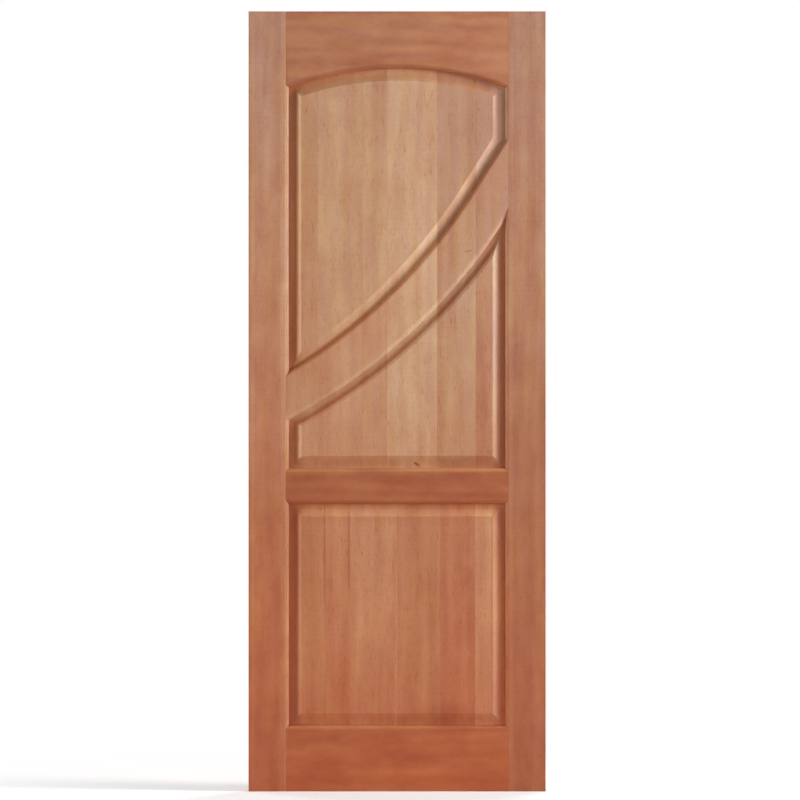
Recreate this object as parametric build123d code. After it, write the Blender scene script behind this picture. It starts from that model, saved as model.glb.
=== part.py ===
from build123d import *
from math import acos, cos, degrees, sin, sqrt
import os

# A stile-and-rail door leaf. An arched top rail and a curved muntin that sweeps up from the left
# stile to the right one divide it into three raised-and-fielded panels, moulded alike on both faces.
#
# Frame: X runs across the door from the hinge edge, Y through its thickness with the front
# towards -Y, and Z up. The origin is in the middle of the hinge edge.

# Leaf
door_width = 800.0
door_height = 2100.0
door_thickness = 40.0

# Stiles and rails, as face widths from the outer edge, or from the neighbour, to the arris
stile_width = 100.0
bottom_rail_width = 168.0
lower_opening_height = 615.0
middle_rail_width = 78.0
top_rail_width = 144.0  # at the crown of the arch
arch_rise = 55.0

# Curved muntin: the arc of its upper arris, where that arc turns into a straight run up to the
# right stile, and the width of the muntin square to the arc
sweep_radius = 1484.0
sweep_left_height = 1116.5  # above the foot, on the arris of the left stile
sweep_right_height = 1779.0  # above the foot, where the arc alone would meet the right stile
straight_from = 605.0  # from the hinge edge
muntin_width = 98.0

# Sticking, the quarter-round moulding along the inner edges of the frame, and the groove in it
quirk = 1.0  # the small step down from the face to the quarter round
sticking_width = 9.0
flats = 4  # a rounded profile is cut as this many flats, so that it stays light along the curves
groove_width = 14.0
groove_depth = 14.0
tenon_clearance = 0.3  # at the bottom of a groove
tongue_clearance = 0.2  # on each face of a panel's tongue, and between the cove and the lip

# Raised panels: how far in from the arris the cove reaches the field, which is a little less
# along the muntin
field_inset = 42.0
muntin_field_inset = 38.5
field_drop = 1.0  # from the face of the frame down to the field

# Edge-glued boards, from the left stile to the right one: how they share the opening's width
upper_board_shares = (86, 121, 66, 135, 104, 88)
lower_board_shares = (107, 66, 127, 117, 93, 90)

foot = -door_height / 2
head = foot + door_height
half_thickness = door_thickness / 2
half_groove = groove_width / 2
tongue_half_thickness = half_groove - tongue_clearance
field_half_thickness = half_thickness - field_drop
overcut = 2.0  # how far a cutter reaches past the wood it leaves

# The inner arrises of the frame
left_arris = stile_width
right_arris = door_width - stile_width
bottom_rail_arris = foot + bottom_rail_width
middle_rail_lower_arris = bottom_rail_arris + lower_opening_height
middle_rail_upper_arris = middle_rail_lower_arris + middle_rail_width
arch_crown = head - top_rail_width

# Where the groove's lips stand, how deep the groove is, and where tenons and tongues end in it,
# all as distances from the arris into the opening
lip = sticking_width
groove_bottom = lip - groove_depth
seat = groove_bottom + tenon_clearance

# The arch is symmetrical. The sweep is the circle through its two ends, and the straight run of
# the muntin's upper arris is tangent to it.
half_opening = (right_arris - left_arris) / 2
arch_radius = (half_opening**2 + arch_rise**2) / (2 * arch_rise)
arch_centre = Vector(left_arris + half_opening, 0, arch_crown - arch_radius)
sweep_start = Vector(left_arris, 0, foot + sweep_left_height)
sweep_end = Vector(right_arris, 0, foot + sweep_right_height)
sweep_chord = sweep_end - sweep_start
sweep_apothem = sqrt(sweep_radius**2 - (sweep_chord.length / 2) ** 2)
sweep_normal = Vector(-sweep_chord.Z, 0, sweep_chord.X).normalized()
sweep_centre = sweep_start + sweep_chord * 0.5 + sweep_normal * sweep_apothem
lower_sweep_radius = sweep_radius + muntin_width
turn_angle = acos((straight_from - sweep_centre.X) / sweep_radius)
towards_turn = Vector(cos(turn_angle), 0, -sin(turn_angle))  # from the centre of the sweep
straight_way = Vector(sin(turn_angle), 0, cos(turn_angle))  # up to the right stile


# Outlines of the three openings. Each takes how far inside the arris it runs.

def arch_point(radius, x):
    return Vector(x, 0, arch_centre.Z + sqrt(radius**2 - (x - arch_centre.X) ** 2))


def sweep_point(radius, x):
    return Vector(x, 0, sweep_centre.Z - sqrt(radius**2 - (x - sweep_centre.X) ** 2))


def edge_through(point, radius, xs):
    """The stretch of one of the door's two circles between the first and last x."""
    return ThreePointArc(*(point(radius, x) for x in xs))


def upper_sweep(inset, x_from, x_to):
    """The muntin's upper arris moved into the opening: the arc and its straight run."""
    radius = sweep_radius - inset
    turn = sweep_centre + towards_turn * radius
    arc = edge_through(sweep_point, radius, (x_from, (x_from + turn.X) / 2, turn.X))
    return [arc, Line(turn, turn + straight_way * ((x_to - turn.X) / straight_way.X))]


def lower_sweep(inset, x_from, x_to):
    """The muntin's lower arris moved into the opening."""
    return edge_through(sweep_point, lower_sweep_radius + inset, (x_from, (x_from + x_to) / 2, x_to))


def three_places(inset):
    left = left_arris + inset
    right = right_arris - inset
    return left, (left + right) / 2, right


def upper_outline(inset):
    left, middle, right = three_places(inset)
    top = edge_through(arch_point, arch_radius - inset, (left, middle, right))
    bottom = upper_sweep(inset, left, right)
    sides = [Line(top @ 0, bottom[0] @ 0), Line(top @ 1, bottom[1] @ 1)]
    return make_face([top, *bottom, *sides])


def middle_outline(inset):
    left, _, right = three_places(inset)
    top = lower_sweep(inset, left, right)
    sill = middle_rail_upper_arris + inset
    corners = [Vector(left, 0, sill), Vector(right, 0, sill)]
    sides = [Line(top @ 0, corners[0]), Line(*corners), Line(corners[1], top @ 1)]
    return make_face([top, *sides])


def lower_outline(inset):
    left, _, right = three_places(inset)
    bottom = bottom_rail_arris + inset
    top = middle_rail_lower_arris - inset
    corners = [(left, 0, bottom), (right, 0, bottom), (right, 0, top), (left, 0, top)]
    return make_face(Polyline(*corners, close=True))


def muntin_outline():
    """The muntin with its moulded edges and stub tenons, from one stile's groove to the other's."""
    start = left_arris + seat
    end = right_arris - seat
    upper = upper_sweep(lip, start, end)
    lower = lower_sweep(lip, start, end)
    sides = [Line(upper[0] @ 0, lower @ 0), Line(upper[1] @ 1, lower @ 1)]
    return make_face([*upper, lower, *sides])


def through_door(outline, half_depth):
    """A slab with this outline, as thick on the back of the door as on the front."""
    return extrude(outline, amount=half_depth, dir=(0, 1, 0), both=True)


# Cutter profiles. The first coordinate is the distance from the arris into the opening, the
# second the distance from the middle of the leaf towards a face.

def in_flats(arc):
    return Polyline(*(arc @ (number / flats) for number in range(flats + 1)))


def sticking_waste():
    """What is cut away in front of the quarter round, on one face."""
    top = half_thickness - quirk
    bottom = top - sticking_width
    outside = half_thickness + overcut
    quarter_round = in_flats(CenterArc((0, bottom), sticking_width, start_angle=0, arc_size=90))
    rim = Polyline((0, top), (0, outside), (lip + overcut, outside), (lip + overcut, bottom), (lip, bottom))
    return make_face([quarter_round, rim])


def groove_waste():
    return make_face(
        Polyline(
            (groove_bottom, -half_groove),
            (lip + overcut, -half_groove),
            (lip + overcut, half_groove),
            (groove_bottom, half_groove),
            close=True,
        )
    )


def panel_waste(cove_end):
    """What is cut away over the tongue and along the cove of a panel, on one face."""
    field = field_half_thickness
    tongue = tongue_half_thickness
    cove_start = lip + tongue_clearance
    cove = in_flats(TangentArc((cove_start, tongue), (cove_end, field), tangent=(1, 0)))
    waste_start = seat - overcut
    outside = field + overcut
    corners = [(waste_start, tongue), (waste_start, outside), (cove_end, outside)]
    return make_face([cove, Polyline(cove @ 0, *corners, cove @ 1)])


def on_both_faces(waste):
    return [waste, mirror(waste, about=Plane.XZ)]


def along_stile(waste, side):
    """Run a cutter up the door: side is 1 along the left stile, -1 along the right one."""
    arris = left_arris if side > 0 else right_arris
    plane = Plane(origin=(arris, 0, foot - overcut), x_dir=(side, 0, 0), z_dir=(0, 0, side))
    return extrude(plane * waste, amount=door_height + 2 * overcut, dir=(0, 0, 1))


def along_rail(waste, arris, side):
    """Run a cutter across the door: side is 1 where the opening is above the arris."""
    plane = Plane(origin=(-overcut, 0, arris), x_dir=(0, 0, side), z_dir=(-side, 0, 0))
    return extrude(plane * waste, amount=door_width + 2 * overcut, dir=(1, 0, 0))


def along_arch(waste):
    """Run a cutter round the arch, with the opening on the inside."""
    plane = Plane(origin=arch_centre - Vector(arch_radius, 0, 0), x_dir=(1, 0, 0), z_dir=(0, 0, 1))
    return revolve(plane * waste, Axis(arch_centre, (0, 1, 0)), revolution_arc=180)


def along_upper_sweep(waste):
    """Run a cutter along the muntin's upper arris: round the arc, and straight past the stile."""
    start = sweep_centre + towards_turn * sweep_radius
    profile = Plane(origin=start, x_dir=-towards_turn, z_dir=-straight_way) * waste
    arc = 90 - degrees(turn_angle)
    way_out = (door_width - straight_from) / straight_way.X
    straight = extrude(profile, amount=way_out, dir=straight_way)
    return revolve(profile, Axis(sweep_centre, (0, 1, 0)), revolution_arc=arc) + straight


def along_lower_sweep(waste):
    """Run a cutter round the muntin's lower arris, with the opening outside the circle."""
    start = sweep_centre + Vector(lower_sweep_radius, 0, 0)
    profile = Plane(origin=start, x_dir=(1, 0, 0), z_dir=(0, 0, 1)) * waste
    return revolve(profile, Axis(sweep_centre, (0, 1, 0)), revolution_arc=90)


def mould(member, run, *place):
    """Cut the sticking on both faces of a member's edge, and the groove between them."""
    for waste in on_both_faces(sticking_waste()) + [groove_waste()]:
        member = member - run(waste, *place)
    return member


def block(x_from, x_to, z_from, z_to):
    size = (x_to - x_from, door_thickness, z_to - z_from)
    middle = ((x_from + x_to) / 2, 0, (z_from + z_to) / 2)
    return Pos(*middle) * Box(*size)


# Stiles: each runs the full height of the door, moulded and grooved on its inner edge.

left_stile = mould(block(0, left_arris + lip, foot, head), along_stile, 1)
right_stile = mould(block(right_arris - lip, door_width, foot, head), along_stile, -1)


# Rails: the ends are coped over the sticking of the stiles, and their stub tenons fill the grooves.

def between_stiles(z_from, z_to):
    return block(left_arris + seat, right_arris - seat, z_from, z_to)


def cope(member):
    return member - left_stile - right_stile


bottom_rail = between_stiles(foot, bottom_rail_arris + lip)
bottom_rail = cope(mould(bottom_rail, along_rail, bottom_rail_arris, 1))

middle_rail = between_stiles(middle_rail_lower_arris - lip, middle_rail_upper_arris + lip)
middle_rail = mould(middle_rail, along_rail, middle_rail_lower_arris, -1)
middle_rail = cope(mould(middle_rail, along_rail, middle_rail_upper_arris, 1))

under_arch = Pos(*arch_centre) * Rot(X=90) * Cylinder(arch_radius - lip, door_thickness + 2 * overcut)
top_rail = between_stiles(arch_point(arch_radius, left_arris).Z - arch_rise, head) - under_arch
top_rail = cope(mould(top_rail, along_arch))


# Muntin: a curved member with a moulded and grooved edge on both sides, coped like the rails.

muntin = through_door(muntin_outline(), half_thickness)
muntin = mould(muntin, along_upper_sweep)
muntin = cope(mould(muntin, along_lower_sweep))


# Panels: each blank reaches into the grooves all round, and each of its edges is run past the
# same cutter on both faces, so that the corners mitre by themselves.

def raise_panel(outline, edges):
    panel = through_door(outline(seat), field_half_thickness)
    for cove_end, run, *place in edges:
        for waste in on_both_faces(panel_waste(cove_end)):
            panel = panel - run(waste, *place)
    return panel


stile_edges = [(field_inset, along_stile, 1), (field_inset, along_stile, -1)]
upper_panel = raise_panel(
    upper_outline,
    stile_edges + [(field_inset, along_arch), (muntin_field_inset, along_upper_sweep)],
)
middle_panel = raise_panel(
    middle_outline,
    stile_edges
    + [
        (muntin_field_inset, along_lower_sweep),
        (field_inset, along_rail, middle_rail_upper_arris, 1),
    ],
)
lower_panel = raise_panel(
    lower_outline,
    stile_edges
    + [
        (field_inset, along_rail, bottom_rail_arris, 1),
        (field_inset, along_rail, middle_rail_lower_arris, -1),
    ],
)


# Boards: the panels and the muntin are glued up from upright boards, edge to edge. Those above
# the middle rail are sawn from one slab, so their joints line up across the muntin.

def split_into_boards(name, blank, shares):
    edges = [left_arris + seat]
    for number in range(1, len(shares)):
        share = sum(shares[:number]) / sum(shares)
        edges.append(left_arris + share * 2 * half_opening)
    edges.append(right_arris - seat)
    boards = {}
    for number, (start, end) in enumerate(zip(edges, edges[1:]), start=1):
        boards[f"{name}_board_{number}"] = blank & block(start, end, foot, head)
    return boards


nodes = {
    "left_stile": left_stile,
    "right_stile": right_stile,
    "top_rail": top_rail,
    "middle_rail": middle_rail,
    "bottom_rail": bottom_rail,
    **split_into_boards("upper_panel", upper_panel, upper_board_shares),
    **split_into_boards("muntin", muntin, upper_board_shares),
    **split_into_boards("middle_panel", middle_panel, upper_board_shares),
    **split_into_boards("lower_panel", lower_panel, lower_board_shares),
}

os.makedirs("parts", exist_ok=True)
for name, shape in nodes.items():
    export_step(shape, f"parts/{name}.step")
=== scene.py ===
from math import acos, cos, pi, radians, sin, sqrt, tan

import bmesh
import bpy
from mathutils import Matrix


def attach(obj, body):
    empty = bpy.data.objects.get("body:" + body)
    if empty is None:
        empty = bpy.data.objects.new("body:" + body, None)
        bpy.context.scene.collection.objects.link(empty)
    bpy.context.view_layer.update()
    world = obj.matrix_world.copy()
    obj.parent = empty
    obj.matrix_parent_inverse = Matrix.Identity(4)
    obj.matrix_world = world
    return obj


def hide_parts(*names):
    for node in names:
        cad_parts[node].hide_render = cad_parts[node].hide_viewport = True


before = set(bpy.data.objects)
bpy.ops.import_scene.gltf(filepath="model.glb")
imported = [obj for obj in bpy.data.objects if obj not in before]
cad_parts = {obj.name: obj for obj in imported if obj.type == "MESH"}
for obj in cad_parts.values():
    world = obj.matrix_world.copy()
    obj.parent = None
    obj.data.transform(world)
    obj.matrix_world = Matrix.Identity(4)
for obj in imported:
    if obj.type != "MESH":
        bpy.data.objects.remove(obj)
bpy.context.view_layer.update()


# Stiles. Two straight uprights of red-brown hardwood, as long as the leaf is high and planed to
# 40 mm. The inner edge of each is moulded with a quarter round on both faces and grooved between
# them for the panels, and the outer arrises are eased with sandpaper.

foot = -1.05
head = 1.05
door_width = 0.8
half_thickness = 0.02
stile_width = 0.1
left_arris = stile_width
right_arris = door_width - stile_width

quirk = 0.001
sticking_width = 0.009
half_groove = 0.007
groove_bottom = -0.005
arris_ease = 0.0004
outer_ease = 0.0013
round_steps = 10
ease_steps = 5
merge_within = 1e-7

# Strips of a face that have their own corners, so that the finish can change there: beside an
# arris, beside the moulding of a stile and along its outer edge.
arris_strip = 0.004
moulding_strip = 0.02
outer_strip = 0.003


def sticking_profile():
    """The moulded edge from the front face to the back one, as pairs of the distance from the
    arris into the opening and the depth."""
    middle = half_thickness - quirk - sticking_width
    front = [
        (-arris_strip, half_thickness),
        (-arris_ease, half_thickness),
        (0.0, half_thickness - arris_ease),
    ]
    for step in range(round_steps + 1):
        angle = pi / 2 * (1 - step / round_steps)
        front.append((sticking_width * cos(angle), middle + sticking_width * sin(angle)))
    front += [(sticking_width, half_groove), (groove_bottom, half_groove)]
    return [(inset, -depth) for inset, depth in front] + front[::-1]


def stile_section():
    """The section of the left stile, as x, y and the distance from the arris into the opening."""
    corner = []
    for step in range(ease_steps + 1):
        angle = pi / 2 * step / ease_steps
        corner.append(
            (outer_ease * (1 - cos(angle)), half_thickness - outer_ease * (1 - sin(angle)))
        )
    corner.append((outer_ease + outer_strip, half_thickness))
    corner.append((stile_width - moulding_strip, half_thickness))
    front = [(x, -y, x - stile_width) for x, y in corner]
    back = [(x, y, x - stile_width) for x, y in corner[::-1]]
    moulded = [(left_arris + inset, y, inset) for inset, y in sticking_profile()]
    return front + moulded + back


def painted_shading_at(inset, stops):
    """The painted light and shade at a distance from an arris, from the stops of that edge. A stop
    is a distance in millimetres, counted into the opening, and two amounts there: a browner tint,
    for glazing and painted shade, and painted light. Below nothing, the tint is paler, for a
    painted highlight, and the painted light turns to painted shade."""
    reach = min(max(inset * 1000, stops[0][0]), stops[-1][0])
    for before, after in zip(stops, stops[1:]):
        if reach <= after[0]:
            share = (reach - before[0]) / (after[0] - before[0])
            return [low + (high - low) * share for low, high in zip(before[1:], after[1:])]


def remember(mesh, insets, painted_shading):
    """Notes on each corner how far it is from an arris and the painted light and shade there."""
    mesh.attributes.new("inset", "FLOAT", "POINT").data.foreach_set("value", insets)
    for label, amounts in zip(("glaze", "rubbed"), zip(*painted_shading)):
        mesh.attributes.new(label, "FLOAT", "POINT").data.foreach_set("value", amounts)


def mesh_of(name, corners, faces, insets, painted_shading):
    """A closed mesh with its faces outwards."""
    mesh = bpy.data.meshes.new(name)
    mesh.from_pydata(corners, [], faces)
    remember(mesh, insets, painted_shading)
    shell = bmesh.new()
    shell.from_mesh(mesh)
    bmesh.ops.remove_doubles(shell, verts=shell.verts, dist=merge_within)
    bmesh.ops.dissolve_degenerate(shell, edges=shell.edges, dist=merge_within)
    bmesh.ops.recalc_face_normals(shell, faces=shell.faces)
    shell.to_mesh(mesh)
    shell.free()
    return mesh


def ease_ends(mesh):
    """Takes the sharp edge off the sawn ends of a stile."""
    shell = bmesh.new()
    shell.from_mesh(mesh)
    ends = [face for face in shell.faces if abs(face.normal.z) > 0.99]
    rims = {edge for face in ends for edge in face.edges}
    bmesh.ops.bevel(
        shell, geom=list(rims), offset=arris_ease, segments=2, profile=0.5,
        affect="EDGES", clamp_overlap=True,
    )
    shell.to_mesh(mesh)
    shell.free()


def upright_mesh(name, section, foot_stops, head_stops):
    """A stile from its section and the stops of the painted light and shade of its moulded
    edge at the foot and at the head.
    """
    count = len(section)
    corners = [(x, y, z) for z in (foot, head) for x, y, _ in section]
    insets = [inset for _ in (foot, head) for _, _, inset in section]
    painted_shading = [
        painted_shading_at(inset, stops) for stops in (foot_stops, head_stops) for _, _, inset in section
    ]
    faces = [tuple(range(count)), tuple(range(2 * count - 1, count - 1, -1))]
    for point in range(count):
        following = (point + 1) % count
        faces.append((point, following, following + count, point + count))
    mesh = mesh_of(name, corners, faces, insets, painted_shading)
    ease_ends(mesh)
    return mesh


class Value:
    """A socket of a node tree. Sums written on it add their Math nodes to the tree."""

    def __init__(self, tree, socket=None):
        self.tree = tree
        self.socket = socket

    def node(self, kind, settings, inputs, output=0):
        """A new node from its type, its settings and the values or links of its sockets. A list
        links several values to one socket."""
        made = self.tree.nodes.new(kind)
        for name, setting in settings.items():
            if name == "stops":
                ramp = made.color_ramp.elements
                while len(ramp) < len(setting):
                    ramp.new(0.5)
                for element, (position, colour) in zip(ramp, setting):
                    element.position = position
                    element.color = (*colour, 1.0)
            else:
                setattr(made, name, setting)
        for name, given in inputs.items():
            for value in given if isinstance(given, list) else [given]:
                if isinstance(value, Value):
                    self.tree.links.new(value.socket, made.inputs[name])
                else:
                    made.inputs[name].default_value = value
        return Value(self.tree, made.outputs[output] if made.outputs else None)

    def output(self, name):
        """Another output of the node that this value comes from."""
        return Value(self.tree, self.socket.node.outputs[name])

    def sum(self, operation, first, second=0.0):
        return self.node("ShaderNodeMath", {"operation": operation}, {0: first, 1: second})

    def __add__(self, other):
        return self.sum("ADD", self, other)

    def __radd__(self, other):
        return self.sum("ADD", other, self)

    def __sub__(self, other):
        return self.sum("SUBTRACT", self, other)

    def __rsub__(self, other):
        return self.sum("SUBTRACT", other, self)

    def __mul__(self, other):
        return self.sum("MULTIPLY", self, other)

    def __rmul__(self, other):
        return self.sum("MULTIPLY", other, self)

    def __truediv__(self, other):
        return self.sum("DIVIDE", self, other)

    def __rtruediv__(self, other):
        return self.sum("DIVIDE", other, self)

    def __pow__(self, other):
        return self.sum("POWER", self, other)

    def between(self, low, high):
        """0 below low, 1 above high, and smooth between them. Low may be the higher of the two."""
        settings = {"interpolation_type": "SMOOTHSTEP"}
        return self.node("ShaderNodeMapRange", settings, {0: self, 1: low, 2: high})

    def vector(self, operation, first, second=(0.0, 0.0, 0.0)):
        return self.node("ShaderNodeVectorMath", {"operation": operation}, {0: first, 1: second})

    def remembered(self, name, output="Fac"):
        return self.node("ShaderNodeAttribute", {"attribute_name": name}, {}, output)


# How the stain reads up the leaf, from the foot to the head: darker and redder at the foot, paler
# and greyer at the head, partly from the stain and partly from a painted sheen. And how each shade
# of it answers to more or less of it, to the red blush in the wood and to the tint of glaze and
# painted shade on the mouldings.
stain_and_sheen_by_height = [
    (0.00, (0.410, 0.112, 0.048)),
    (0.08, (0.415, 0.116, 0.051)),
    (0.36, (0.430, 0.150, 0.071)),
    (0.50, (0.447, 0.180, 0.096)),
    (0.71, (0.475, 0.222, 0.130)),
    (1.00, (0.460, 0.225, 0.144)),
]
# The same for the stiles, partly stain and partly painted sheen.
stile_stain_and_sheen_by_height = [
    (0.00, (0.444, 0.116, 0.048)),
    (0.16, (0.450, 0.133, 0.058)),
    (0.36, (0.405, 0.137, 0.064)),
    (0.55, (0.424, 0.175, 0.097)),
    (0.72, (0.453, 0.210, 0.122)),
    (0.88, (0.464, 0.230, 0.150)),
    (1.00, (0.464, 0.218, 0.152)),
]
stain_response = (0.53, 1.10, 1.37)
blush_response = (-0.35, -0.65, 0.68)
glaze_and_shade_tint_response = (-0.02, -0.33, -0.56)

# How the figure is drawn: the marks to a metre across the grain and along it, and the detail and
# the roughness of their noise.
figures = {
    "ribbons": (38.0, 2.6, 0.5, 0.55),
    "bands": (120.0, 8.0, 2.0, 0.55),
    "fine": (420.0, 9.0, 3.0, 0.65),
    "fibres": (1500.0, 34.0, 2.0, 0.55),
    "clouds": (24.0, 12.0, 2.0, 0.55),
    "blush": (44.0, 4.0, 1.0, 0.55),
    "flecks": (300.0, 34.0, 1.0, 0.55),
    "pores": (1900.0, 75.0, 0.0, 0.55),
}
fleck_rim = (0.12, 0.24)
pore_rim = (0.10, 0.20)

# The grain wanders this far, so often to a metre, and each board is cut from another place.
drift_width = 0.03
drift_waves = 1.1
drift_of_board = 3.7
board_aside = 0.731
board_along = 1.319

# A glue joint shows as a hairline. Stain is worn thin within 1.1 mm of an arris, given here as
# that distance squared. The corner at the foot of the quarter round is darker, partly from stain
# that gathers there and partly from painted shade. The rim of a mark is given as squares too, of
# the distance from its middle over its half width.
hairline_width = 0.0009
hairline_darkness = 0.13
worn_square = 0.0000012
worn_evenness = 0.9
worn_paleness = 0.1
corner_stain_and_shade_from = (0.0088, 0.0094)
corner_stain_and_shade_until = (0.0135, 0.0092)
corner_stain_and_shade_darkness = 0.12
mark_rim = (1.6, 0.1)

fibre_relief = 0.3
pore_relief = 1.0
hairline_relief = 2.0
relief_strength = 0.35
relief_depth = 0.0002
satin = 0.5
fine_polish = 0.12
pore_dullness = 0.2
cloud_dullness = 0.1
sheen_level = 0.35


def hardwood(name, streaks, marks=(), colours=stain_and_sheen_by_height):
    """Open-pored red-brown hardwood under a satin finish. The grain runs up a piece, or across it
    where the piece remembers so, and each board has its own figure and tone. A mark is a paler or
    darker spot or streak: x and z of its middle, half its width and height, its turn and its
    strength."""
    material = bpy.data.materials.new(name)
    material.use_nodes = True
    tree = material.node_tree
    shader = tree.nodes["Principled BSDF"]
    start = Value(tree)
    place = start.node("ShaderNodeTexCoord", {}, {}, "Object")
    x = start.node("ShaderNodeSeparateXYZ", {}, {0: place}, "X")
    y = x.output("Y")
    z = x.output("Z")
    crosswise = start.remembered("crosswise")
    board = start.remembered("board")
    inset = start.remembered("inset")
    joint = start.remembered("joint")
    tone = start.remembered("tone", "Vector")

    across = x + (z - x) * crosswise
    along = z + (x - z) * crosswise
    wave = start.node(
        "ShaderNodeCombineXYZ", {}, {0: along * drift_waves, 1: board * drift_of_board}
    )
    drift = start.node(
        "ShaderNodeTexNoise", {"noise_dimensions": "2D"},
        {"Vector": wave, "Scale": 1.0, "Detail": 1.0},
    )
    across = across + (drift - 0.5) * drift_width
    grain = start.node(
        "ShaderNodeCombineXYZ", {},
        {0: across + board * board_aside, 1: y, 2: along + board * board_along},
    )

    def figure(sideways, lengthwise, detail, roughness):
        stretched = start.vector("MULTIPLY", grain, (sideways, sideways, lengthwise))
        return start.node(
            "ShaderNodeTexNoise", {},
            {"Vector": stretched, "Scale": 1.0, "Detail": detail, "Roughness": roughness},
        ) - 0.5

    ribbons, bands, fine, fibres, clouds, blush, flecks, pores = [
        figure(*sizes) for sizes in figures.values()
    ]
    flecks = flecks.between(*fleck_rim)
    pores = pores.between(*pore_rim)

    shade = ribbons * streaks["ribbons"] + bands * streaks["bands"] + fine * streaks["fine"]
    shade = shade + fibres * streaks["fibres"] + clouds * streaks["clouds"]
    shade = shade - flecks * streaks["flecks"] - pores * streaks["pores"]
    hairline = joint.between(hairline_width, 0.0)
    shade = shade - hairline * hairline_darkness
    worn = (inset * inset).between(worn_square, 0.0) * (fine + worn_evenness)
    shade = shade + worn * worn_paleness
    # Painted shade, with some gathered stain, in the corner at the foot of the quarter round.
    corner_stain_and_shade = inset.between(*corner_stain_and_shade_from) * inset.between(*corner_stain_and_shade_until)
    shade = shade - corner_stain_and_shade * corner_stain_and_shade_darkness
    # Painted light and shade from the stops of each edge, with the marks added to it.
    painted_light_and_marks = start.remembered("rubbed")
    for mark_x, mark_z, half_width, half_height, turn, strength in marks:
        east = x - mark_x
        north = z - mark_z
        wide = (east * cos(turn) + north * sin(turn)) / half_width
        high = (north * cos(turn) - east * sin(turn)) / half_height
        inside = (wide * wide + high * high).between(*mark_rim)
        painted_light_and_marks = painted_light_and_marks + inside * strength

    height = (z - foot) / (head - foot)
    stain_and_painted_light = start.node("ShaderNodeValToRGB", {"stops": colours}, {0: height})
    stain_and_painted_light = start.vector("MULTIPLY", stain_and_painted_light, tone)
    for amount, response in (
        (shade, stain_response), (blush * streaks["blush"], blush_response),
        (painted_light_and_marks, stain_response), (start.remembered("glaze"), glaze_and_shade_tint_response),
    ):
        change = start.node("ShaderNodeCombineXYZ", {}, {
            0: 1.0 + amount * response[0],
            1: 1.0 + amount * response[1],
            2: 1.0 + amount * response[2],
        })
        stain_and_painted_light = start.vector("MULTIPLY", stain_and_painted_light, change)
    relief = fibres * fibre_relief + fine * fibre_relief
    relief = relief - pores * pore_relief - hairline * hairline_relief
    bump = start.node(
        "ShaderNodeBump", {},
        {"Strength": relief_strength, "Distance": relief_depth, "Height": relief},
    )
    tree.links.new(stain_and_painted_light.socket, shader.inputs["Base Color"])
    tree.links.new(bump.socket, shader.inputs["Normal"])
    roughness = satin - fine * fine_polish + pores * pore_dullness + clouds * cloud_dullness
    tree.links.new(roughness.socket, shader.inputs["Roughness"])
    shader.inputs["Specular IOR Level"].default_value = sheen_level
    return material


sharp_turn = radians(32)


def fit(name, mesh, material, tone, board, crosswise=0.0, cuts=None):
    """Puts a finished piece in the leaf in place of its plain solid. Each piece has its tone and
    the number of its board, which no piece beside it shares, apart from boards that run on across
    the muntin. Cuts are its glue joints."""
    count = len(mesh.vertices)
    for label, value in (("board", float(board)), ("crosswise", crosswise)):
        mesh.attributes.new(label, "FLOAT", "POINT").data.foreach_set("value", [value] * count)
    mesh.attributes.new("tone", "FLOAT_VECTOR", "POINT").data.foreach_set("vector", tone * count)
    reach = [1.0] * count
    if cuts:
        reach = [min([1.0] + [abs(corner.co.x - cut) for cut in cuts]) for corner in mesh.vertices]
    mesh.attributes.new("joint", "FLOAT", "POINT").data.foreach_set("value", reach)
    mesh.shade_smooth()
    mesh.set_sharp_from_angle(angle=sharp_turn)
    mesh.materials.clear()
    mesh.materials.append(material)
    piece = bpy.data.objects.new(name + "_wood", mesh)
    bpy.context.scene.collection.objects.link(piece)
    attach(piece, "root")
    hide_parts(name)
    return piece


stile_streaks = {
    "ribbons": 0.36, "bands": 0.17, "fine": 0.19, "fibres": 0.12, "clouds": 0.6,
    "blush": 0.44, "flecks": 0.14, "pores": 0.2,
}
stile_marks = [
    (0.094, 0.35, 0.0095, 1.0, 0.0, 0.2),
    (0.0115, 0.0, 0.005, 1.3, 0.0, 0.13),
    (0.709, 0.2, 0.007, 0.8, 0.0, 0.14),
    (0.05, head - 0.12, 0.09, 0.3, 0.0, 0.1),
    (0.05, foot + 1.02, 0.09, 0.22, 0.0, 0.05),
    (0.75, foot + 1.72, 0.09, 0.22, 0.0, -0.09),
    (0.75, foot + 1.0, 0.09, 0.2, 0.0, -0.1),
    (0.762, 0.3, 0.012, 0.9, 0.0, -0.06),
]
stile_wood = hardwood("stile_hardwood", stile_streaks, stile_marks, stile_stain_and_sheen_by_height)
left_section = stile_section()
right_section = [(door_width - x, y, inset) for x, y, inset in left_section]

# Painted shade makes the outer edges a little darker. The painted light and shade of the quarter
# round differ from the foot to the head.
outer_edge = [(-100, 0, -0.22), (-97, 0, 0), (-20, 0, 0)]
left_foot = outer_edge + [
    (-4, -0.35, 0), (0, -0.88, 0.21), (3, -0.9, 0.23), (6, -0.98, 0.33), (9, 0.18, 0.38),
]
left_head = outer_edge + [
    (-4, 0, 0), (0, 0.32, 0.37), (3, 0.2, 0.24), (6, -0.18, -0.13), (9, -0.5, -0.58),
]
right_foot = outer_edge + [
    (-4, 0.1, 0.25), (0, 0.4, 0.32), (3, 0.45, 0.27), (6, 0.35, 0.15), (9, 1, 0.15),
]
right_head = outer_edge + [
    (-4, 0.2, -0.1), (0, 0.2, 0), (3, 0.3, 0.17), (6, 0.35, 0.35), (9, 0.5, 0.35),
]
left_stile = upright_mesh("left_stile", left_section, left_foot, left_head)
right_stile = upright_mesh("right_stile", right_section, right_foot, right_head)
fit("left_stile", left_stile, stile_wood, (1.12, 1.09, 0.975), 11)
fit("right_stile", right_stile, stile_wood, (0.98, 1.03, 0.98), 12)


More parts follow.
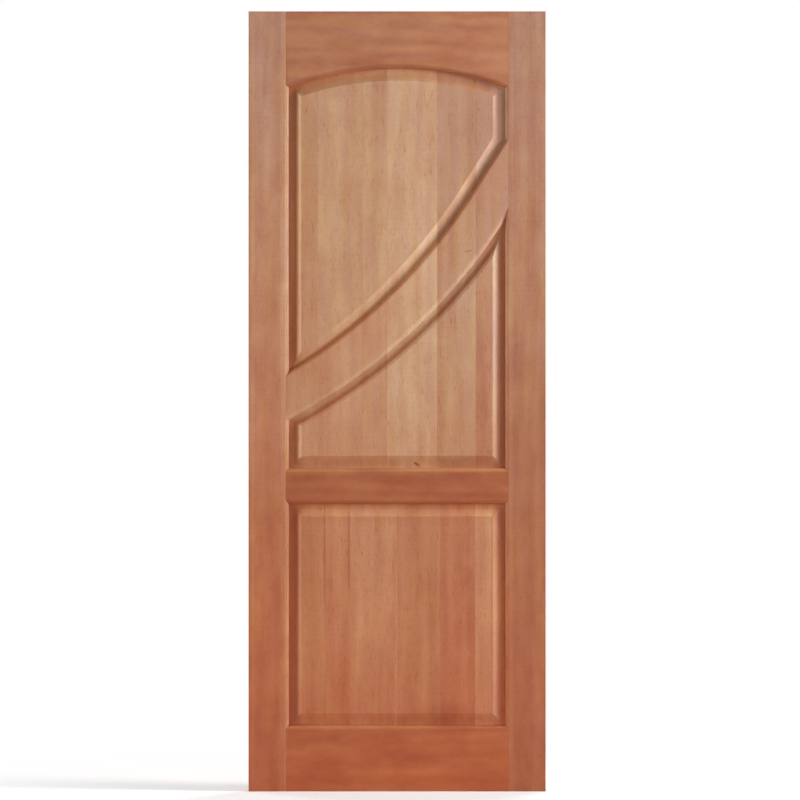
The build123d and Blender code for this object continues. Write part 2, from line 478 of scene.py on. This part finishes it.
# Rails. Three level members of the same hardwood with the grain running across the leaf. Their
# moulded edges match the stiles, their ends are coped over the quarter round of the stiles, and
# stub tenons are glued into the grooves. The underside of the top rail is cut to an arch.

bottom_rail_arris = foot + 0.168
middle_rail_lower_arris = foot + 0.783
middle_rail_upper_arris = foot + 0.861
arch_crown = head - 0.144
arch_rise = 0.055
arch_middle = door_width / 2
half_opening = (right_arris - left_arris) / 2
arch_radius = (half_opening**2 + arch_rise**2) / (2 * arch_rise)
arch_centre_height = arch_crown - arch_radius
seat_clearance = 0.0003
tenon_end = groove_bottom + seat_clearance
shoulder_ease = 0.00015
past_all_stops = -0.05
station_margin = 0.012
station_spacing = 0.006


def above_bottom_rail(inset, x):
    return bottom_rail_arris + inset


def below_middle_rail(inset, x):
    return middle_rail_lower_arris - inset


def above_middle_rail(inset, x):
    return middle_rail_upper_arris + inset


def under_arch(inset, x):
    return arch_centre_height + sqrt((arch_radius - inset) ** 2 - (x - arch_middle) ** 2)


def moulded_edge(height):
    """The rows of a moulded edge: height gives z for an inset and an x."""
    return [(inset, y, lambda x, inset=inset: height(inset, x)) for inset, y in sticking_profile()]


def plain_edge(level, inward):
    """The rows of a straight sawn edge with the arrises just taken off."""
    rows = []
    for inset, y in sticking_profile():
        ease = arris_ease if abs(y) == half_thickness else 0.0
        rows.append((past_all_stops, y, lambda x, z=level + inward * ease: z))
    return rows


def coped_end(inset, y):
    """How far past the arris of the left stile a row of a coped member starts."""
    if inset >= 0:
        return left_arris + inset
    if abs(y) == half_thickness:
        return left_arris + shoulder_ease
    return left_arris + tenon_end


def coped_mesh(name, upper, lower, stations, upper_stops, lower_stops):
    """A member between the stiles, from the rows of its two edges, the places across the leaf
    where they are worked out and the painted light and shade of each edge."""
    starts = [coped_end(inset, y) for inset, y in sticking_profile()]
    columns = len(stations) + 2
    rows = len(starts)
    corners = []
    insets = []
    painted_shading = []
    for edge, stops in ((upper, upper_stops), (lower, lower_stops)):
        for start_x, (inset, y, height) in zip(starts, edge):
            for x in [start_x, *stations, door_width - start_x]:
                corners.append((x, y, height(x)))
                insets.append(inset)
                painted_shading.append(painted_shading_at(inset, stops))

    def corner(edge, row, column):
        return (edge * rows + row) * columns + column

    faces = []
    for row in range(rows - 1):
        for edge in (0, 1):
            for column in range(columns - 1):
                faces.append((
                    corner(edge, row, column), corner(edge, row, column + 1),
                    corner(edge, row + 1, column + 1), corner(edge, row + 1, column),
                ))
        for column in (0, columns - 1):
            faces.append((
                corner(0, row, column), corner(0, row + 1, column),
                corner(1, row + 1, column), corner(1, row, column),
            ))
    for row in (0, rows - 1):
        for column in range(columns - 1):
            faces.append((
                corner(0, row, column), corner(0, row, column + 1),
                corner(1, row, column + 1), corner(1, row, column),
            ))
    return mesh_of(name, corners, faces, insets, painted_shading)


def stations_between(first, last, joints=()):
    """Evenly spaced places across the leaf, with the glue joints among them."""
    count = round((last - first) / station_spacing)
    even = [first + (last - first) * number / count for number in range(count + 1)]
    nearest = station_spacing / 3
    clear = [x for x in even if all(abs(x - joint) > nearest for joint in joints)]
    return sorted(clear + list(joints))


first_station = left_arris + station_margin
last_station = right_arris - station_margin
straight_stations = [first_station, last_station]
plain = [(-4, 0, 0), (9, 0, 0)]
# Painted light and shade along the moulded edges of the rails, darker in places and paler in
# others.
over_bottom_rail = [
    (-4, -0.35, -0.08), (0, -0.85, -0.06), (3, -1.2, -0.04), (6, -1.2, -0.02), (9, -0.7, 0.1),
]
over_middle_rail = [
    (-4, -0.2, 0.06), (0, -0.4, 0.27), (3, -0.5, 0.47), (6, -0.55, 0.52), (9, -0.1, 0.4),
]
under_middle_rail = [
    (-4, -0.2, 0.03), (0, 0.05, 0.05), (3, 0.25, 0), (6, 0.4, 0.12), (9, 0.65, 0.33),
]
under_top_rail = [
    (-4, -0.05, -0.04), (-2, -0.2, -0.18), (0, -0.52, -0.38), (3, -1, -0.53), (6, -1.05, -0.52),
    (9, -0.45, -0.4),
]
bottom_rail = coped_mesh(
    "bottom_rail", moulded_edge(above_bottom_rail), plain_edge(foot, 1), straight_stations,
    over_bottom_rail, plain,
)
middle_rail = coped_mesh(
    "middle_rail", moulded_edge(above_middle_rail), moulded_edge(below_middle_rail),
    straight_stations, over_middle_rail, under_middle_rail,
)
top_rail = coped_mesh(
    "top_rail", plain_edge(head, -1), moulded_edge(under_arch),
    stations_between(first_station, last_station), plain, under_top_rail,
)
rail_streaks = {
    "ribbons": 0.64, "bands": 0.04, "fine": 0.05, "fibres": 0.07, "clouds": 0.8,
    "blush": 0.4, "flecks": 0.05, "pores": 0.12,
}
rail_marks = [
    (0.33, foot + 0.11, 0.2, 0.045, 0.0, 0.09),
    (0.69, foot + 0.06, 0.16, 0.1, 0.0, -0.12),
]
rail_wood = hardwood("rail_hardwood", rail_streaks, rail_marks)
fit("bottom_rail", bottom_rail, rail_wood, (1.095, 0.927, 0.65), 21, 1.0)
fit("middle_rail", middle_rail, rail_wood, (0.828, 0.587, 0.392), 22, 1.0)
fit("top_rail", top_rail, rail_wood, (1.003, 0.808, 0.615), 23, 1.0)


# Muntin. A curved member that sweeps up from the left stile to the right one between the two
# upper panels. It is sawn to a ring shape from a slab of upright boards glued edge to edge, so
# its grain stands upright, and it is moulded, grooved and coped as the rails are.

sweep_centre = (-0.64888, foot + 2.39768)
sweep_radius = 1.484
muntin_width = 0.098
straight_from = 0.605
turn_angle = acos((straight_from - sweep_centre[0]) / sweep_radius)
slab_joints = [0.186, 0.307, 0.373, 0.508, 0.612]


def on_sweep(radius, x):
    return sweep_centre[1] - sqrt(radius**2 - (x - sweep_centre[0]) ** 2)


def above_muntin(inset, x):
    """The upper arris runs round the sweep first and then straight on up to the right stile."""
    radius = sweep_radius - inset
    turn_x = sweep_centre[0] + radius * cos(turn_angle)
    if x < turn_x:
        return on_sweep(radius, x)
    return on_sweep(radius, turn_x) + (x - turn_x) / tan(turn_angle)


def below_muntin(inset, x):
    return on_sweep(sweep_radius + muntin_width + inset, x)


saw_within = 1e-6


def sawn_boards(mesh, cuts):
    """The meshes of the boards that a glued-up blank consists of, from the left to the right."""
    boards = []
    for start, end in zip([None, *cuts], [*cuts, None]):
        shell = bmesh.new()
        shell.from_mesh(mesh)
        for cut, direction in ((start, -1), (end, 1)):
            if cut is None:
                continue
            bmesh.ops.bisect_plane(
                shell, geom=shell.verts[:] + shell.edges[:] + shell.faces[:], dist=saw_within,
                plane_co=(cut, 0, 0), plane_no=(direction, 0, 0), clear_outer=True,
            )
            sawn = [edge for edge in shell.edges if edge.is_boundary]
            bmesh.ops.holes_fill(shell, edges=sawn, sides=0)
        bmesh.ops.recalc_face_normals(shell, faces=shell.faces)
        board = bpy.data.meshes.new(mesh.name)
        shell.to_mesh(board)
        shell.free()
        boards.append(board)
    return boards


slab_streaks = {
    "ribbons": 0.52, "bands": 0.14, "fine": 0.13, "fibres": 0.1, "clouds": 0.42,
    "blush": 0.34, "flecks": 0.2, "pores": 0.2,
}
muntin_marks = [
    (0.5914, foot + 1.4545, 0.014, 0.0022, 0.15, -0.35),
    # Painted shadow where the lower edge of the muntin runs into the right stile.
    (0.691, foot + 1.549, 0.0045, 0.024, -0.4, -0.6),
]
muntin_wood = hardwood("muntin_hardwood", slab_streaks, muntin_marks)
# Painted light and shade along the two moulded edges of the muntin.
muntin_upper_edge = [
    (-4, 0.1, -0.04), (0, 0.2, -0.19), (3, -0.55, -0.49), (6, -0.48, -0.6), (9, -0.2, -0.45),
]
muntin_lower_edge = [
    (-4, -0.1, 0), (0, -0.2, 0.08), (3, -0.25, 0.15), (6, -0.35, 0.06), (9, -0.3, -0.06),
]
muntin = coped_mesh(
    "muntin", moulded_edge(above_muntin), moulded_edge(below_muntin),
    stations_between(first_station, last_station, slab_joints),
    muntin_upper_edge, muntin_lower_edge,
)
muntin_tones = [
    (1.16, 1.37, 1.30), (1.15, 1.31, 1.25), (1.19, 1.37, 1.28),
    (1.33, 1.77, 1.75), (1.08, 1.23, 1.16), (1.02, 1.09, 1.08),
]
for number, board in enumerate(sawn_boards(muntin, slab_joints), start=1):
    fit(f"muntin_board_{number}", board, muntin_wood,
        muntin_tones[number - 1], number, cuts=slab_joints)
bpy.data.meshes.remove(muntin)


# Panels. Three blanks of upright boards, glued edge to edge, then raised on both faces: a thin
# tongue held loose in the grooves, and a cove that runs up from it to the flat field. The upper
# two come from one slab, so their joints line up across the muntin.

tongue_clearance = 0.0002
tongue_end = groove_bottom + seat_clearance
tongue_half_thickness = half_groove - tongue_clearance
cove_start = sticking_width + tongue_clearance
field_inset = 0.042
muntin_field_inset = 0.0385
field_drop = 0.001
field_half_thickness = half_thickness - field_drop
sanded = 0.0012
lower_joints = [0.207, 0.273, 0.4, 0.517, 0.61]
same_place = 0.000001


def raising_tree():
    """Geometry nodes that raise a flat plan into a panel, from the inset each corner remembers."""
    tree = bpy.data.node_groups.new("raise_the_panel", "GeometryNodeTree")
    tree.interface.new_socket("Blank", in_out="INPUT", socket_type="NodeSocketGeometry")
    for name in ("Tongue half thickness", "Cove start", "Field inset", "Field half thickness",
                 "Sanded"):
        tree.interface.new_socket(name, in_out="INPUT", socket_type="NodeSocketFloat")
    tree.interface.new_socket("Wood", in_out="INPUT", socket_type="NodeSocketMaterial")
    tree.interface.new_socket("Panel", in_out="OUTPUT", socket_type="NodeSocketGeometry")
    start = Value(tree)
    blank = start.node("NodeGroupInput", {}, {}, "Blank")
    given = blank.output

    def remembered(name):
        return start.node("GeometryNodeInputNamedAttribute", {"data_type": "FLOAT"}, {"Name": name})

    inset = remembered("inset")
    tongue = given("Tongue half thickness")
    field = given("Field half thickness")
    reach = given("Field inset") - given("Cove start")
    climb = field - tongue
    radius = (reach * reach + climb * climb) / (climb * 2)
    along = start.sum("MAXIMUM", inset - given("Cove start"), 0.0)
    hollow = start.sum("SQRT", start.sum("MAXIMUM", radius * radius - along * along, 0.0))
    cove = tongue + radius - hollow
    rounded = start.node(
        "ShaderNodeMath", {"operation": "SMOOTH_MIN"}, {0: cove, 1: field, 2: given("Sanded")}
    )
    half_height = rounded * (1 - remembered("rim"))
    lift = start.node("ShaderNodeCombineXYZ", {}, {1: half_height * -1.0})
    front = start.node("GeometryNodeSetPosition", {}, {"Geometry": blank, "Offset": lift})
    back = start.node("GeometryNodeTransform", {}, {"Geometry": front, "Scale": (1.0, -1.0, 1.0)})
    back = start.node("GeometryNodeFlipFaces", {}, {"Mesh": back})
    both = start.node("GeometryNodeJoinGeometry", {}, {0: [front, back]})
    closed = start.node(
        "GeometryNodeMergeByDistance", {}, {"Geometry": both, "Distance": same_place}
    )
    real = start.node("GeometryNodeRealizeInstances", {}, {"Geometry": closed})
    panel = start.node(
        "GeometryNodeSetMaterial", {}, {"Geometry": real, "Material": given("Wood")}
    )
    start.node("NodeGroupOutput", {}, {"Panel": panel})
    return tree


# The rings of a panel's plan, as insets: two at the end of the tongue, for its edge and its face,
# then evenly up the cove, and close together over the sanded turn to the field.
cove_steps = 9
turn_width = 0.0022
turn_step = 0.0006
panel_insets = [tongue_end, tongue_end]
panel_insets += [
    cove_start + (field_inset - turn_width - cove_start) * step / cove_steps
    for step in range(cove_steps + 1)
]
panel_insets += [field_inset + turn_step * step for step in range(-3, 6)]
field_margin = 0.002


def beside_muntin(inset):
    """Where a ring of a panel runs beside the muntin, where the cove is a little narrower."""
    narrower = (muntin_field_inset - cove_start) / (field_inset - cove_start)
    return min(inset, cove_start + (inset - cove_start) * narrower)


def above_swept_cove(inset, x):
    return above_muntin(beside_muntin(inset), x)


def below_swept_cove(inset, x):
    return below_muntin(beside_muntin(inset), x)


def panel_blank(name, top, bottom, joints, stops):
    """The flat plan of a panel as rings inside its outline, mitred at the corners. Top and bottom
    give z for an inset and an x. Stops give the painted light and shade of the left, right, lower
    and upper edge."""
    widest = panel_insets[-1] + field_margin
    stations = stations_between(left_arris + widest, right_arris - widest, joints)
    left_stops, right_stops, lower_stops, upper_stops = stops
    corners = []
    insets = []
    painted_shading = []
    for inset in panel_insets:
        xs = [left_arris + inset, *stations, right_arris - inset]
        for height, level_stops in ((bottom, lower_stops), (top, upper_stops)):
            for x in xs:
                corners.append((x, 0.0, height(inset, x)))
                insets.append(inset)
            edges = [left_stops, *[level_stops] * len(stations), right_stops]
            painted_shading += [painted_shading_at(inset, edge_stops) for edge_stops in edges]
    columns = len(stations) + 2
    rings = len(panel_insets)

    def corner(ring, side, column):
        return (ring * 2 + side) * columns + column

    faces = []
    for ring in range(rings - 1):
        for column in range(columns - 1):
            for side, order in ((0, 1), (1, -1)):
                faces.append((
                    corner(ring, side, column), corner(ring, side, column + 1),
                    corner(ring + 1, side, column + 1), corner(ring + 1, side, column),
                )[::order])
        for column, order in ((0, -1), (columns - 1, 1)):
            faces.append((
                corner(ring, 0, column), corner(ring, 1, column),
                corner(ring + 1, 1, column), corner(ring + 1, 0, column),
            )[::order])
    for column in range(columns - 1):
        faces.append((
            corner(rings - 1, 0, column), corner(rings - 1, 0, column + 1),
            corner(rings - 1, 1, column + 1), corner(rings - 1, 1, column),
        ))
    mesh = bpy.data.meshes.new(name)
    mesh.from_pydata(corners, [], faces)
    remember(mesh, insets, painted_shading)
    rim = [1.0] * (2 * columns) + [0.0] * (len(corners) - 2 * columns)
    mesh.attributes.new("rim", "FLOAT", "POINT").data.foreach_set("value", rim)
    return mesh


def raised_panel(name, top, bottom, joints, stops, material):
    """A panel before it is sawn into its boards, as a plain mesh."""
    blank = bpy.data.objects.new(name, panel_blank(name, top, bottom, joints, stops))
    bpy.context.scene.collection.objects.link(blank)
    raising = blank.modifiers.new("raising", "NODES")
    raising.node_group = raise_the_panel
    sizes = {
        "Tongue half thickness": tongue_half_thickness, "Cove start": cove_start,
        "Field inset": field_inset, "Field half thickness": field_half_thickness,
        "Sanded": sanded, "Wood": material,
    }
    for socket in raise_the_panel.interface.items_tree:
        if socket.name in sizes:
            raising[socket.identifier] = sizes[socket.name]
    shaped = blank.evaluated_get(bpy.context.evaluated_depsgraph_get())
    panel = bpy.data.meshes.new_from_object(shaped)
    panel.name = name
    bpy.data.objects.remove(blank)
    return panel


raise_the_panel = raising_tree()

# A knot in the middle panel's lower cove, a fleck high on the lower panel, streaks along joints,
# and broad paler and darker places, among them darker bands along the top of the lower panel and
# above the bottom rail.
panel_marks = [
    (0.4525, foot + 0.881, 0.0095, 0.0034, -0.6, -0.75),
    (0.3052, foot + 0.6423, 0.002, 0.006, 0.3, -0.4),
    (0.6265, foot + 1.052, 0.016, 0.17, 0.0, -0.16),
    (0.2045, foot + 0.64, 0.0036, 0.17, 0.0, -0.24),
    (0.2705, foot + 0.66, 0.0036, 0.15, 0.0, -0.22),
    (0.4, foot + 0.47, 0.0026, 0.28, 0.0, 0.16),
    (0.511, foot + 0.5, 0.0026, 0.24, 0.0, 0.12),
    (0.4, foot + 0.66, 0.6, 0.155, 0.0, -0.16),
    (0.4, foot + 0.76, 0.6, 0.045, 0.0, -0.12),
    (0.405, foot + 0.47, 0.03, 0.28, 0.0, 0.08),
    (0.505, foot + 0.47, 0.03, 0.28, 0.0, -0.09),
    (0.53, foot + 0.2, 0.09, 0.035, 0.0, -0.2),
    (0.19, foot + 0.193, 0.09, 0.02, 0.0, 0.12),
]
upper_panel_marks = [
    (0.225, foot + 1.919, 0.13, 0.011, 0.23, -0.17),
    (0.487, foot + 1.82, 0.025, 0.12, 0.0, 0.1),
    (0.603, foot + 1.79, 0.018, 0.12, 0.0, -0.09),
]
panel_wood = hardwood("panel_hardwood", slab_streaks, panel_marks)
calm_streaks = {**slab_streaks, "ribbons": 0.36, "bands": 0.1, "fine": 0.09}
upper_panel_wood = hardwood("upper_panel_hardwood", calm_streaks, upper_panel_marks)
# Painted light and shade over the coves beside the muntin.
over_muntin = [
    (9, 0.8, 0.2), (13, 0.92, 0.46), (17, 0.75, 0.53), (20, 0.48, 0.44), (28, 0, 0.13),
    (38, -0.12, 0.09), (46, 0, 0.02),
]
under_muntin = [
    (9, -0.25, -0.04), (13, 0.1, 0), (18, 0.35, 0.06), (23, 0.32, -0.21), (28, -0.3, -0.58),
    (33, -0.15, -0.5), (37, 0.28, -0.02), (46, 0.1, 0),
]
# The painted light and shade over each cove, at the left, right, lower and upper edge of the panel.
coves = {
    "upper_panel": [
        [(9, 0.2, -0.3), (13, 0.65, -0.12), (16, 0.7, -0.26), (26, 0.7, -0.38), (28, 0.3, -0.42),
         (33, 0.25, 0.14), (38, 0.25, 0.5), (43, 0.05, 0.05), (46, 0, 0)],
        [(9, 0.65, 0.28), (13, 0.65, 0.2), (22, 0.58, 0.42), (26, 0.3, 0.08), (30, -0.3, -0.27),
         (38, -1.1, -0.46), (46, -0.1, -0.05)],
        over_muntin,
        [(9, 0.35, -0.25), (13, 0.6, -0.17), (17, 0.72, 0.04), (28, 0.7, 0.04), (33, 0.68, 0.12),
         (39, 0.68, 0.32), (46, 0.17, 0.02)],
    ],
    "middle_panel": [
        [(9, 0.35, -0.05), (13, 0.7, -0.05), (26, 0.6, -0.36), (29, 0.1, -0.46), (33, 0.1, -0.26),
         (38, 0.05, 0.27), (48, 0, 0.04)],
        [(9, 0.9, 0), (13, 1.1, -0.14), (20, 0.7, -0.4), (23, 0, -0.46), (28, -0.25, -0.19),
         (36, -1.15, -0.16), (43, -0.5, 0.05), (47, -0.15, 0)],
        [(9, 0.05, 0.3), (13, 0.45, 0.15), (18, 0.65, 0.05), (30, 0.6, -0.02), (38, 0.45, 0.02),
         (48, 0, 0)],
        under_muntin,
    ],
    "lower_panel": [
        [(9, 0.35, 0.16), (13, 0.65, 0.11), (26, 0.55, -0.09), (30, 0.3, -0.22), (33, 0.1, -0.18),
         (38, -0.15, 0.18), (43, -0.05, 0.24), (48, 0, 0)],
        [(9, 0.85, 0.2), (14, 1, 0.28), (21, 0.85, -0.02), (28, 0.1, 0.22), (38, -0.95, -0.05),
         (43, -0.35, 0), (47, -0.1, 0)],
        [(9, -0.3, 0.25), (13, 0.25, 0.43), (18, 0.52, 0.39), (30, 0.57, 0.31), (38, 0.42, 0.4),
         (45, 0.12, 0.11), (48, 0, 0)],
        [(9, 0.75, 0.33), (18, 0.53, 0.65), (26, 0.08, 0.6), (32, -0.17, 0.47), (41, -0.22, 0.52),
         (45, -0.2, 0.29), (49, 0, 0)],
    ],
}

# Of each panel the wood, the edges above and below it, its joints, the number before its first
# board and the tones of its boards.
panels = {
    "upper_panel": (
        upper_panel_wood, under_arch, above_swept_cove, slab_joints, 0,
        [(1.10, 1.22, 1.08), (1.16, 1.36, 1.26), (1.17, 1.39, 1.34),
         (1.22, 1.50, 1.47), (1.02, 1.13, 1.14), (1.03, 1.20, 1.34)],
    ),
    "middle_panel": (
        panel_wood, below_swept_cove, above_middle_rail, slab_joints, 0,
        [(1.17, 1.46, 1.49), (1.17, 1.44, 1.48), (1.18, 1.49, 1.48),
         (1.29, 1.86, 2.03), (1.10, 1.40, 1.40), (1.08, 1.24, 1.26)],
    ),
    "lower_panel": (
        panel_wood, below_middle_rail, above_bottom_rail, lower_joints, 30,
        [(1.06, 1.11, 0.95), (1.13, 1.19, 1.08), (1.14, 1.30, 1.25),
         (1.05, 1.11, 0.98), (1.04, 0.98, 0.88), (1.15, 1.32, 1.28)],
    ),
}
for name, (wood, top, bottom, joints, first_board, tones) in panels.items():
    panel = raised_panel(name, top, bottom, joints, coves[name], wood)
    for number, board in enumerate(sawn_boards(panel, joints), start=1):
        fit(f"{name}_board_{number}", board, wood,
            tones[number - 1], first_board + number, cuts=joints)
    bpy.data.meshes.remove(panel)


# Studio. The leaf stands on a pale round floor that shows white and keeps its shadow. Large soft
# lamps light it from both sides, from the front and from behind, and the camera looks at it
# square on from far away.

floor_radius = 9.0
floor_sides = 96
floor_grey = 0.8
floor_glow = 0.1
fade_from = 0.7
fade_until = 1.9
ambient = 0.095


def white_to_the_eye(start):
    """1 for the rays that show the background itself or its reflection."""
    camera_ray = start.node("ShaderNodeLightPath", {}, {}, "Is Camera Ray")
    seen = start.sum("MAXIMUM", camera_ray, camera_ray.output("Is Glossy Ray"))
    return start.sum("MAXIMUM", seen, camera_ray.output("Is Transmission Ray"))


floor_mesh = bpy.data.meshes.new("studio_floor")
floor_shell = bmesh.new()
bmesh.ops.create_circle(floor_shell, cap_ends=True, radius=floor_radius, segments=floor_sides)
floor_shell.to_mesh(floor_mesh)
floor_shell.free()
for point in floor_mesh.vertices:
    point.co.x += door_width / 2
    point.co.z = foot
floor_mesh.update()
floor = bpy.data.objects.new("studio_floor", floor_mesh)
bpy.context.scene.collection.objects.link(floor)
floor_paint = bpy.data.materials.new("floor_paint")
floor_paint.use_nodes = True
floor_tree = floor_paint.node_tree
floor_tree.nodes.clear()
paint = Value(floor_tree)
floor_place = paint.node("ShaderNodeTexCoord", {}, {}, "Object")
away = paint.node(
    "ShaderNodeVectorMath", {"operation": "DISTANCE"},
    {0: floor_place, 1: (door_width / 2, 0.0, foot)}, "Value",
)
seen = white_to_the_eye(paint)
pale = (floor_grey, floor_grey, floor_grey, 1.0)
matt = paint.node("ShaderNodeBsdfDiffuse", {}, {"Color": pale})
glow = paint.node("ShaderNodeEmission", {}, {"Strength": seen * floor_glow})
near = paint.node("ShaderNodeAddShader", {}, {0: matt, 1: glow})
far = paint.node("ShaderNodeEmission", {}, {"Strength": 1.0})
blend = paint.node(
    "ShaderNodeMixShader", {},
    {0: away.between(fade_from, fade_until) * seen, 1: near, 2: far},
)
paint.node("ShaderNodeOutputMaterial", {}, {"Surface": blend})
floor_mesh.materials.append(floor_paint)

world = bpy.data.worlds.new("studio_air")
bpy.context.scene.world = world
world.use_nodes = True
air = Value(world.node_tree)
brightness = ambient + (1.0 - ambient) * white_to_the_eye(air)
background = world.node_tree.nodes["Background"]
background.inputs["Color"].default_value = (1.0, 1.0, 1.0, 1.0)
world.node_tree.links.new(brightness.socket, background.inputs["Strength"])

# Of each lamp the name, the degrees round to the right of the camera and up, the distance, the
# width and the power.
lamps = [
    ("right_lamp", 76.0, 25.0, 3.0, 0.72, 88.0),
    ("right_front_lamp", 60.0, 5.0, 4.0, 0.96, 34.0),
    ("front_lamp", 10.0, 12.0, 5.0, 1.2, 30.0),
    ("left_lamp", -76.0, 0.0, 3.0, 0.72, 41.0),
    ("left_high_lamp", -76.0, 25.0, 3.0, 0.72, 15.0),
    ("back_right_lamp", 155.0, 25.0, 5.0, 2.0, 126.0),
    ("back_left_lamp", -140.0, 25.0, 5.0, 2.0, 82.0),
]
for name, azimuth, elevation, distance, width, power in lamps:
    light = bpy.data.lights.new(name, "AREA")
    light.shape = "DISK"
    light.size = width
    light.energy = power
    lamp = bpy.data.objects.new(name, light)
    level = distance * cos(radians(elevation))
    lamp.location = (
        door_width / 2 + level * sin(radians(azimuth)),
        -level * cos(radians(azimuth)),
        distance * sin(radians(elevation)),
    )
    lamp.rotation_euler = (radians(90.0 - elevation), 0.0, radians(azimuth))
    lamp.visible_camera = False
    bpy.context.scene.collection.objects.link(lamp)

# The picture's width in pixels, the pixels to a metre of the leaf's face and the pixel at the
# middle of the leaf.
photo_size = 800
photo_scale = 371.5
photo_middle = (397.1, 401.4)
camera_distance = 14.0
sensor_width = 36.0
farthest_seen = 100.0

lens = bpy.data.cameras.new("camera")
lens.sensor_width = sensor_width
lens.lens = sensor_width * (camera_distance - half_thickness) * photo_scale / photo_size
lens.clip_end = farthest_seen
camera = bpy.data.objects.new("camera", lens)
camera.location = (
    door_width / 2 + (photo_size / 2 - photo_middle[0]) / photo_scale,
    -camera_distance,
    (photo_middle[1] - photo_size / 2) / photo_scale,
)
camera.rotation_euler = (radians(90.0), 0.0, 0.0)
bpy.context.scene.collection.objects.link(camera)
bpy.context.scene.camera = camera
bpy.context.scene.view_settings.view_transform = "Standard"
